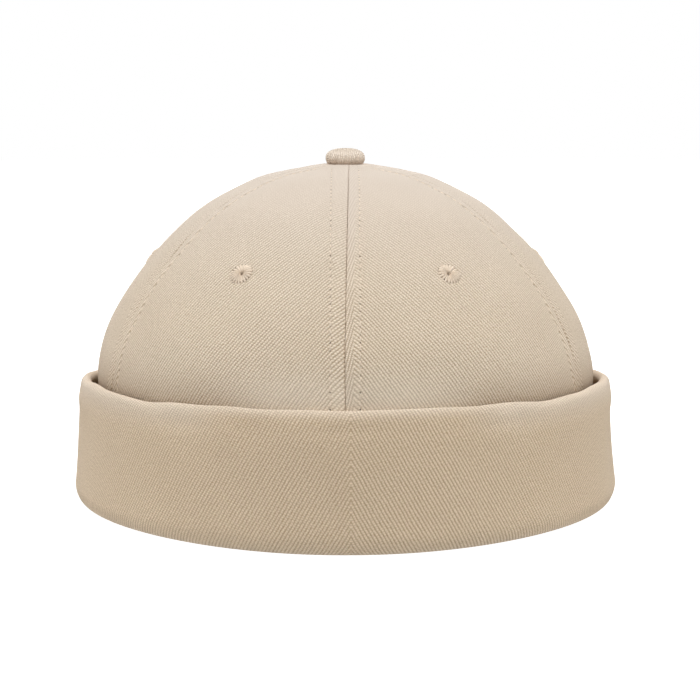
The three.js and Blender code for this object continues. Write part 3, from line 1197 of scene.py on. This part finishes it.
RIM_DIPS = (Wave(48, 19, 0.5), Wave(105, 27, 0.84), Wave(146, 25, 0.4))
FOLD_LIFTS = (Wave(50, 48, 0.85), Wave(142, 34, 0.8))
ROLL_SWELLS = (Wave(0, 13, 1.0), Wave(34, 12, 0.8), Wave(62, 16, 0.6), Wave(100, 22, 0.8), Wave(150, 26, 0.7))


def waves_at(waves: tuple, degrees: Array) -> Array:
    """Adds up soft waves that are alike on both halves.

    Args:
        waves: The waves.
        degrees: Azimuths, from the centre front.

    Returns:
        The sum at each azimuth.
    """
    away = from_front(degrees)
    total = np.zeros_like(away)
    for wave in waves:
        distance = np.minimum(1, np.abs(away - wave.degrees) / wave.half_span)
        total += wave.size * (1 + np.cos(math.pi * distance)) / 2
    return total


@dataclass
class Cuff:
    """The turned-up cuff: a soft bottom fold, an outer wall and a rolled rim."""

    form: CrownForm
    height: float = 46.1
    rim_gap: float = 1.2
    roll_radius: float = 2.3
    flare: float = 1.9
    side_flare: float = 2.35
    wall: float = 2.6
    fold_out: float = 4.0
    fold_up: float = 6.5
    floor: float = 2.2
    turn_in_height: float = 12.0
    turn_in_wall: float = 1.4
    turn_in_looseness: float = 0.5
    rim_fall: float = 3.6
    rim_dip: float = 2.2
    fold_lift: float = 0.75
    roll_turn: float = 210.0
    roll_share: float = 0.86
    roll_swell: float = 0.3
    roll_crease: float = 0.45
    crease_drop: float = 6.2
    rim_unevenness: float = 0.22
    rim_waves: SoftWaves = SoftWaves(3, 14.0, 40.0)
    front_lean: float = 2.7
    front_lean_length: float = 8.5
    side_lean: float = 0.7
    side_lean_length: float = 3.9
    side_start: float = 30.0
    side_run: float = 45.0
    side_bulge: float = 0.6
    bulge_drop: float = 7.0
    pocket_gap: float = 0.35
    wall_unevenness: float = 0.3
    wall_waves: SoftWaves = SoftWaves(12, 18.0, 46.0)
    seam_dip: float = 0.45
    seam_width: float = 0.55
    mirror_right: float = 1.8
    cloth_out: float = 6.0
    rib_degrees: float = 61.0
    stations: int = 540

    def _outline(self, degrees: Array) -> Pair:
        """Draws the cuff's closed outline at every station.

        Args:
            degrees: Azimuths of the stations.

        Returns:
            Distance outside the crown's hem, and height, both stations by points.
        """
        azimuth = np.radians(degrees)
        loop = np.stack([np.cos(azimuth), np.sin(azimuth)]) * self.form.half_width
        rim = self.height - self.rim_fall * (1 - np.cos(azimuth)) / 2
        rim = rim - self.rim_dip * waves_at(RIM_DIPS, degrees)
        rim = (rim + self.rim_unevenness * self.rim_waves.at(*loop))[:, None]
        fold = (self.fold_lift * waves_at(FOLD_LIFTS, degrees))[:, None]
        swell = self.roll_swell * waves_at(ROLL_SWELLS, degrees)
        roll = (self.roll_radius * (self.roll_share + swell * 0.5))[:, None]
        sideways = smooth_step((from_front(degrees)[:, None] - self.side_start) / self.side_run)
        flare = between(self.flare, self.side_flare, sideways)
        top_out, roll_up = self.rim_gap + 2 * self.roll_radius, rim - roll
        inner_turn = -self.form.cloth - self.turn_in_looseness - self.turn_in_wall
        outer_turn = inner_turn + self.turn_in_wall
        half = self.turn_in_wall / 2
        middle, bend_middle = inner_turn + half, top_out + flare - self.fold_out
        raw_edge, corner = np.radians(np.linspace(0, 180, 7)), np.radians(np.linspace(180, 270, 5))
        bend, over = np.radians(np.linspace(-90, 0, 15)), np.radians(np.linspace(0, self.roll_turn, 22))[1:]
        down = np.linspace(self.turn_in_height - 1.5, half + 0.3, 9)
        rise, sink = np.linspace(0, 1, 34)[1:], np.linspace(0, 1, 12)
        inside = between(self.pocket_gap, top_out - self.wall, smooth_step(1 - sink / 0.3))
        # In order: the turn-in's raw edge, inner face and corner, the flat bottom, the fold, the outer
        # wall, the rolled rim, and back down the pocket to its floor and up the turn-in's outer face.
        pieces = (
            (middle + half * np.cos(raw_edge), self.turn_in_height - half + half * np.sin(raw_edge)),
            (np.full(9, inner_turn), np.maximum(down, fold + half)),
            (middle + half * np.cos(corner), fold + half + half * np.sin(corner)),
            (middle + 0.6 + (bend_middle - middle - 1.0) * np.linspace(0, 1, 8), fold + np.zeros(8)),
            (bend_middle + self.fold_out * np.cos(bend), self.fold_up + (self.fold_up - fold) * np.sin(bend)),
            (top_out + flare * (1 - rise) ** 2, between(self.fold_up, roll_up, rise)),
            (top_out - roll + roll * np.cos(over), roll_up + roll * np.sin(over)),
            (inside, between(roll_up - 2.3, self.fold_up, sink)),
            (np.linspace(self.pocket_gap, outer_turn, 6), np.full(6, self.floor)),
            (np.full(5, outer_turn), np.linspace(3.2, self.turn_in_height - 1.2, 5)),
        )
        spread = [np.broadcast_arrays(out, up, np.zeros((len(degrees), 1)))[:2] for out, up in pieces]
        out, up = (np.concatenate([piece[i] for piece in spread], axis=1) for i in range(2))
        length = between(self.front_lean_length, self.side_lean_length, sideways)
        lean = between(self.front_lean, self.side_lean, sideways)
        share = np.clip((out - self.rim_gap) / (top_out - self.rim_gap), 0, 1)
        return out - lean * share * np.exp((up - rim) / length), up

    def _relief(self, degrees: Array, out: Array, up: Array) -> Array:
        """Gives the soft relief of the outer wall.

        Args:
            degrees: Azimuths of the stations.
            out: The outline's distance outside the hem.
            up: The outline's height.

        Returns:
            How far the wall stands out from its plain shape.
        """
        azimuth = np.radians(degrees)[:, None]
        loop_x, loop_y = self.form.half_width * np.cos(azimuth), self.form.half_width * np.sin(azimuth)
        soft = self.wall_waves.at(loop_x + 0.7 * up, loop_y + 0.4 * up)
        below_rim = np.max(up, axis=1, keepdims=True) - up
        creased = 0.25 + 0.75 * waves_at(ROLL_SWELLS, degrees)[:, None]
        away = from_front(degrees)[:, None]
        from_back = np.radians(180 - away) * self.form.half_length
        height = (
            self.wall_unevenness * soft
            - self.roll_crease * hump(below_rim, self.crease_drop, 1.7) * creased
            + self.side_bulge * hump(below_rim, self.bulge_drop, 3.2) * smooth_step((away - 55) / 30)
            - self.seam_dip * hump(from_back, 0.0, self.seam_width)
        )
        return height * smooth_step((out - 3.2) / 1.5) * smooth_step((up - 1.0) / 8.0)

    def build(self, finish: Finish) -> Piece:
        """Carries the outline round the crown's hem.

        Args:
            finish: The cuff's twill.

        Returns:
            The object.
        """
        degrees = self._station_degrees()
        out, up = self._outline(degrees)
        out = out + self._relief(degrees, out, up)
        sine, cosine = np.sin(np.radians(degrees)), np.cos(np.radians(degrees))
        a, b = self.form.half_width, self.form.half_length
        hem = np.stack([a * sine, -b * cosine], axis=-1)
        outward = np.stack([b * sine, -a * cosine], axis=-1)
        outward /= np.linalg.norm(outward, axis=1, keepdims=True)
        flat = hem[:, None, :] + outward[:, None, :] * out[..., None]
        points = np.concatenate([flat, up[..., None]], axis=-1)
        ids = np.arange(up.size).reshape(up.shape)
        ahead = np.roll(ids, -1, axis=0)
        faces = np.stack([ids, ahead, np.roll(ahead, -1, axis=1), np.roll(ids, -1, axis=1)], axis=-1)
        maps = {CLOTH_MAP: self._cloth_place(degrees, out, up)}
        return make_piece("cuff", points, faces.reshape(-1, 4).tolist(), maps, finish)

    def _station_degrees(self) -> Array:
        """Spaces the stations, closer together at the seam on the back and where the weave turns.

        Returns:
            Their azimuths in order.
        """
        base = np.linspace(-180, 180, self.stations, endpoint=False)
        seam = np.array([-179.85, -179.7, -179.5, -179.25, 179.25, 179.5, 179.7, 179.85])
        turn = math.degrees(self.mirror_right / (self.form.half_width + self.cloth_out))
        return np.sort(np.concatenate([base, seam, [turn - 0.05, turn, turn + 0.05]]))

    def _cloth_place(self, degrees: Array, out: Array, up: Array) -> Array:
        """Maps the cuff to its flat cloth, mirrored a little to the right of the centre front.

        Args:
            degrees: Azimuths of the stations.
            out: The outline's distance outside the hem.
            up: The outline's height.

        Returns:
            Two coordinates in millimetres for each point.
        """
        fine = np.radians(np.linspace(-180, 180, 3601))
        step = self.form.speed((fine[1:] + fine[:-1]) / 2) * np.diff(fine)
        length = np.concatenate([[0.0], np.cumsum(step)])
        length = (length - length[len(length) // 2]) * (1 + self.cloth_out / self.form.half_width)
        around = np.interp(np.radians(degrees), fine, length)
        mirrored = (self.mirror_right - np.abs(around - self.mirror_right))[:, None]
        steps = np.hypot(np.diff(out, axis=1), np.diff(up, axis=1))
        along = np.concatenate([np.zeros((len(degrees), 1)), np.cumsum(steps, axis=1)], axis=1)
        turn = math.radians(RIB_DEGREES - self.rib_degrees)
        sine, cosine = math.sin(turn), math.cos(turn)
        return np.stack([mirrored * cosine - along * sine, mirrored * sine + along * cosine], axis=-1)


@dataclass
class TopButton:
    """The covered button: a cloth disc gathered under a low dome."""

    form: CrownForm
    radius: float = 6.85
    height: float = 5.1
    edge: float = 1.6
    gap: float = 0.3
    fullness: float = 0.8
    foot_radius: float = 5.7
    foot_press: float = 1.0
    gathers: int = 70
    gather_drift: SoftWaves = SoftWaves(31, 0.6, 1.6)
    gather_strength: SoftWaves = SoftWaves(32, 0.35, 1.1)
    gather_depth: float = 0.2
    scallops: SoftWaves = SoftWaves(34, 0.1, 0.24)
    scallop_depth: float = 0.2
    folds: SoftWaves = SoftWaves(33, 0.16, 0.5)
    fold_depth: float = 0.55
    shank_radius: float = 1.6
    shank_reach: float = 3.4
    steps_round: int = 290
    steps_up: int = 40

    def _seat(self, radius: float | Array) -> float | Array:
        """Gives the height just above the crown.

        Args:
            radius: Distance from its axis.

        Returns:
            The height in millimetres.
        """
        reach = self.form.places["reach"][::-1]
        rise = np.interp(np.asarray(radius) / self.form.half_length, reach, self.form.places["rise"][::-1])
        return rise * self.form.height + self.gap

    def build(self, finish: Finish) -> Piece:
        """Builds the dome, its gathered skirt, its underside and the shank.

        Args:
            finish: Its twill.

        Returns:
            The object.
        """
        turn = full_turn(self.steps_round)
        radius, height = self._side()
        up = (height - height[0]) / (height[-1] - height[0])
        relief = self._gathers(turn, up)
        ring = radius[:, None] * (1 + relief / self.radius)
        lift = height[:, None] + 0.4 * relief * (up[:, None] > 0.05)
        shank_foot = self.form.height * CROWN_SIDE[-1].rise - self.form.cloth - self.shank_reach
        under_radius = np.array([0.0, self.shank_radius, self.shank_radius, 3.2, 5.2])
        under_height = np.array([shank_foot, shank_foot, 0.0, 0.0, 0.0])
        under_height[2:] = self._seat(under_radius[2:])
        rings = np.concatenate([under_radius[:, None] * (1 + 0 * turn), ring])
        lifts = np.concatenate([under_height[:, None] + 0 * turn, lift])
        points = np.stack([rings * np.sin(turn), -rings * np.cos(turn), lifts], axis=-1)
        faces = grid_faces(len(rings), self.steps_round, closed=True)
        slope = np.hypot(np.diff(rings[:, 0]), np.diff(lifts[:, 0]))
        flat = np.concatenate([np.cumsum(slope[::-1])[::-1], [0.0]])[:, None]
        lean = turn + math.radians(90 - RIB_DEGREES)
        maps = {CLOTH_MAP: np.stack([flat * np.sin(lean), flat * np.cos(lean)], axis=-1)}
        button = make_piece("top_button", points, faces, maps, finish)
        self._weld_poles(button)
        return button

    def _side(self) -> Pair:
        """Draws its side from the tucked foot to the top.

        Returns:
            Distance from the axis, and height, in millimetres.
        """
        foot = float(self._seat(self.foot_radius)) - self.foot_press
        edge_height = float(self._seat(self.radius)) + self.edge
        tuck = np.linspace(0, 1, 12)[:-1] * math.pi / 2
        angle = np.linspace(0, 1, self.steps_up) * math.pi / 2
        tucked = between(self.foot_radius, self.radius, np.sin(tuck))
        domed = self.radius * np.cos(angle) ** self.fullness
        domed[-1] = 0.0
        height = np.concatenate([
            between(foot, edge_height, (1 - np.cos(tuck)) ** 0.8),
            edge_height + (self.height - self.edge) * np.sin(angle) ** self.fullness,
        ])
        return np.concatenate([tucked, domed]), height

    def _gathers(self, turn: Array, up: Array) -> Array:
        """Shapes the cloth's gathers at the skirt, its scalloped hem and the few folds above.

        Args:
            turn: Angles round the button.
            up: Shares of its height.

        Returns:
            How far the cloth stands out, heights by angles.
        """
        place = np.cos(turn), np.sin(turn)
        wave = np.sin((turn + 0.02 * self.gather_drift.at(*place)) * self.gathers)
        gather = np.sign(wave) * np.abs(wave) ** 0.8 * (0.65 + 0.35 * self.gather_strength.at(*place))
        scallop = self.scallops.at(*place)
        folds = np.minimum(0.3, self.folds.at(*place))
        low = smooth_step((0.58 - up) / 0.42)
        middle = smooth_step((0.97 - up) / 0.5) * smooth_step(up / 0.25)
        relief = self.gather_depth * np.outer(low, gather) + self.scallop_depth * np.outer(low**2, scallop)
        return relief + self.fold_depth * np.outer(middle, folds)

    @staticmethod
    def _weld_poles(button: Piece) -> None:
        """Joins the points that meet on the axis.

        Args:
            button: The button.
        """
        work = bmesh.new()
        work.from_mesh(button.data)
        bmesh.ops.remove_doubles(work, verts=work.verts, dist=1e-7)
        work.to_mesh(button.data)
        work.free()


def hand_over(piece: Piece, node: str | None) -> None:
    """Gives a finished piece to the frame.

    Args:
        piece: The piece, in place.
        node: The solid that it stands for, or None.
    """
    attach(piece, ROOT)
    if node:
        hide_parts(node)
    log.info("%s: %d faces", piece.name, len(piece.data.polygons))


@dataclass
class Studio:
    """A plain white glowing table, soft lights round it and under it, and the camera."""

    floor_radius: float = 3.0
    floor_sides: int = 96
    floor_drop: float = 6e-7
    floor_colour: str = "#a2a2a1"
    focal_pixels: float = 1950.0
    camera_place: tuple = (0.0, -0.700, 0.149)
    pitch_degrees: float = 7.9
    axis_shift_pixels: float = 4.8
    lit_point: tuple = (0.0, 0.0, 0.06)
    room_brightness: float = 1.0
    table_glow: float = 1.0

    def build(self) -> None:
        """Builds the floor, the lights and the camera."""
        self._floor()
        self._lights()
        self._camera()

    def _floor(self) -> None:
        """Lays a wide disc of backlit white acrylic, whose fine tooth is drawn at 2 mm."""
        # Opal acrylic lit from below: one even white, with no grain or edge that shows.
        acrylic, tree = new_material("backlit_white_acrylic")
        place = add_node(tree, "NodeTexCoord", output="Object")
        tooth = add_node(tree, "NodeTexNoise", {"Vector": place, "Scale": 500.0, "Detail": 2.0})
        bump = {"Height": tooth, "Strength": 0.05, "Distance": 0.2 * METRES}
        surface = {
            "Base Color": linear(self.floor_colour), "Roughness": 0.95, "Specular IOR Level": 0.1,
            "Normal": add_node(tree, "NodeBump", bump), "Emission Color": linear("#ffffff"),
            "Emission Strength": self.table_glow,
        }
        add_node(tree, "NodeOutputMaterial", {"Surface": add_node(tree, "NodeBsdfPrincipled", surface)})
        turn, reach = full_turn(self.floor_sides), self.floor_radius
        rim = [np.sin(turn) * reach, -np.cos(turn) * reach, 0 * turn - self.floor_drop]
        points = np.stack(rim, axis=-1) / METRES
        disc = [list(range(self.floor_sides))]
        floor = make_piece("studio_floor", points, disc, {CLOTH_MAP: points[:, :2]}, acrylic)
        floor.visible_diffuse = floor.visible_shadow = False

    def _lights(self) -> None:
        """Hangs the soft lights and lights the room round them."""
        self._softbox("softbox_above", (0.0, -0.1, 1.7), (1.6, 1.6), 29.8)
        self._softbox("softbox_behind", (0.0, 2.0, 0.8), (3.6, 1.6), 36.0)
        for side in Side:
            right = side.value
            self._softbox(f"softbox_{side.word}", (1.2 * right, -1.2, 0.7), (1.0, 1.2), 10.0)
            self._softbox(f"table_light_{side.word}", (0.8 * right, -0.3, -0.4), (0.8, 1.4), 6.2)
        world = bpy.data.worlds.new("white_room")
        world.use_nodes = True
        tree = world.node_tree
        tree.nodes.clear()
        light = {"Color": (1.0, 1.0, 1.0, 1.0), "Strength": self.room_brightness}
        add_node(tree, "NodeOutputWorld", {"Surface": add_node(tree, "NodeBackground", light)})
        bpy.context.scene.world = world
        seen_by = world.cycles_visibility
        seen_by.diffuse = seen_by.glossy = seen_by.transmission = seen_by.scatter = False

    def _softbox(self, name: str, place: tuple, size: tuple, watts: float) -> None:
        """Hangs one soft light that faces the cap.

        Args:
            name: Its name.
            place: Where it hangs, in metres.
            size: Its width and height in metres.
            watts: Its power.
        """
        data = bpy.data.lights.new(name, "AREA")
        data.shape, data.size, data.size_y, data.energy = "RECTANGLE", *size, watts
        lamp = bpy.data.objects.new(name, data)
        lamp.location = place
        aim = Vector(self.lit_point) - Vector(place)
        lamp.rotation_euler = aim.to_track_quat("-Z", "Y").to_euler()
        bpy.context.scene.collection.objects.link(lamp)

    def _camera(self) -> None:
        """Sets the camera at the photograph's place and angle."""
        data = bpy.data.cameras.new("camera")
        data.sensor_width = 36.0
        data.lens = self.focal_pixels / PHOTO_PIXELS * data.sensor_width
        data.shift_x = self.axis_shift_pixels / PHOTO_PIXELS
        camera = bpy.data.objects.new("camera", data)
        camera.location = self.camera_place
        camera.rotation_euler = (math.radians(90 - self.pitch_degrees), 0, 0)
        bpy.context.scene.collection.objects.link(camera)
        bpy.context.scene.camera = camera
        bpy.context.scene.view_settings.view_transform = "Standard"


def main() -> None:
    """Builds the cap piece by piece, then the studio round it."""
    logging.basicConfig(level=logging.INFO, format="%(message)s")
    # Heavy cotton woven on the diagonal: fine beaded ribs, matt, with a painted highlight that pales and
    # greys its top, and painted light and shade just above the cuff.
    crown_cloth = TwillCloth(
        "sand_cotton_twill_crown", rib="#f5e6d2", gap="#b39b7d", shade="#c9b394", contrast=1.05,
        bead_depth=0.45, faded_share=0.75, needle_pitch=2.7,
        zones=(
            # Painted highlight greying the upper crown; painted light above the cuff's rim at the front;
            # painted shade above it at the sides.
            ToneZone(60, 105, "#cbc8c8", 0.15, 0.15), ToneZone(62, 45, "#fff1dd", 0.0, 0.35),
            ToneZone(58, 45, "#8f7355", 0.24, 0.0),
        ),
    )
    # The same cloth turned up double: its ribs stand out more, and painted highlights pale its upper sides
    # and its rolled rim at the front.
    cuff_cloth = TwillCloth(
        "sand_cotton_twill_cuff", rib="#f7e4c9", gap="#b89c7a", shade="#ceb493", contrast=1.0,
        bead_depth=0.6, sheen=0.18,
        zones=(ToneZone(34, 46, "#f3e8dd", 0.35, 0.0), ToneZone(42, 46.8, "#f3e8dd", 0.0, 0.36)),
    )
    # The same cloth stretched over a button: its ribs lie closer and flatter; it is greyer and darker towards
    # its top, and painted shade darkens it at the tucked hem.
    button_cloth = TwillCloth(
        "sand_cotton_twill_button", rib="#fdf1e4", gap="#d8c5ae", shade="#d6c2aa", rib_pitch=0.8,
        contrast=0.4,
        zones=(
            ToneZone(122.6, 124.6, "#bfae9a", 0.55, 0.55), ToneZone(121.6, 119.3, "#a5805f", 0.36, 0.36),
        ),
    )
    # Spun and twisted cotton: soft strands a little darker between their turns, with no gloss.
    thread = SewingThread("spun_cotton_thread", light="#f8e9d8", dark="#d5c2aa")
    form = CrownForm()
    Crown(form).build(crown_cloth.material(), thread.material())
    hand_over(Cuff(form).build(cuff_cloth.material()), "cuff")
    hand_over(TopButton(form).build(button_cloth.material()), "top_button")
    Studio().build()


if __name__ == "__main__":
    main()
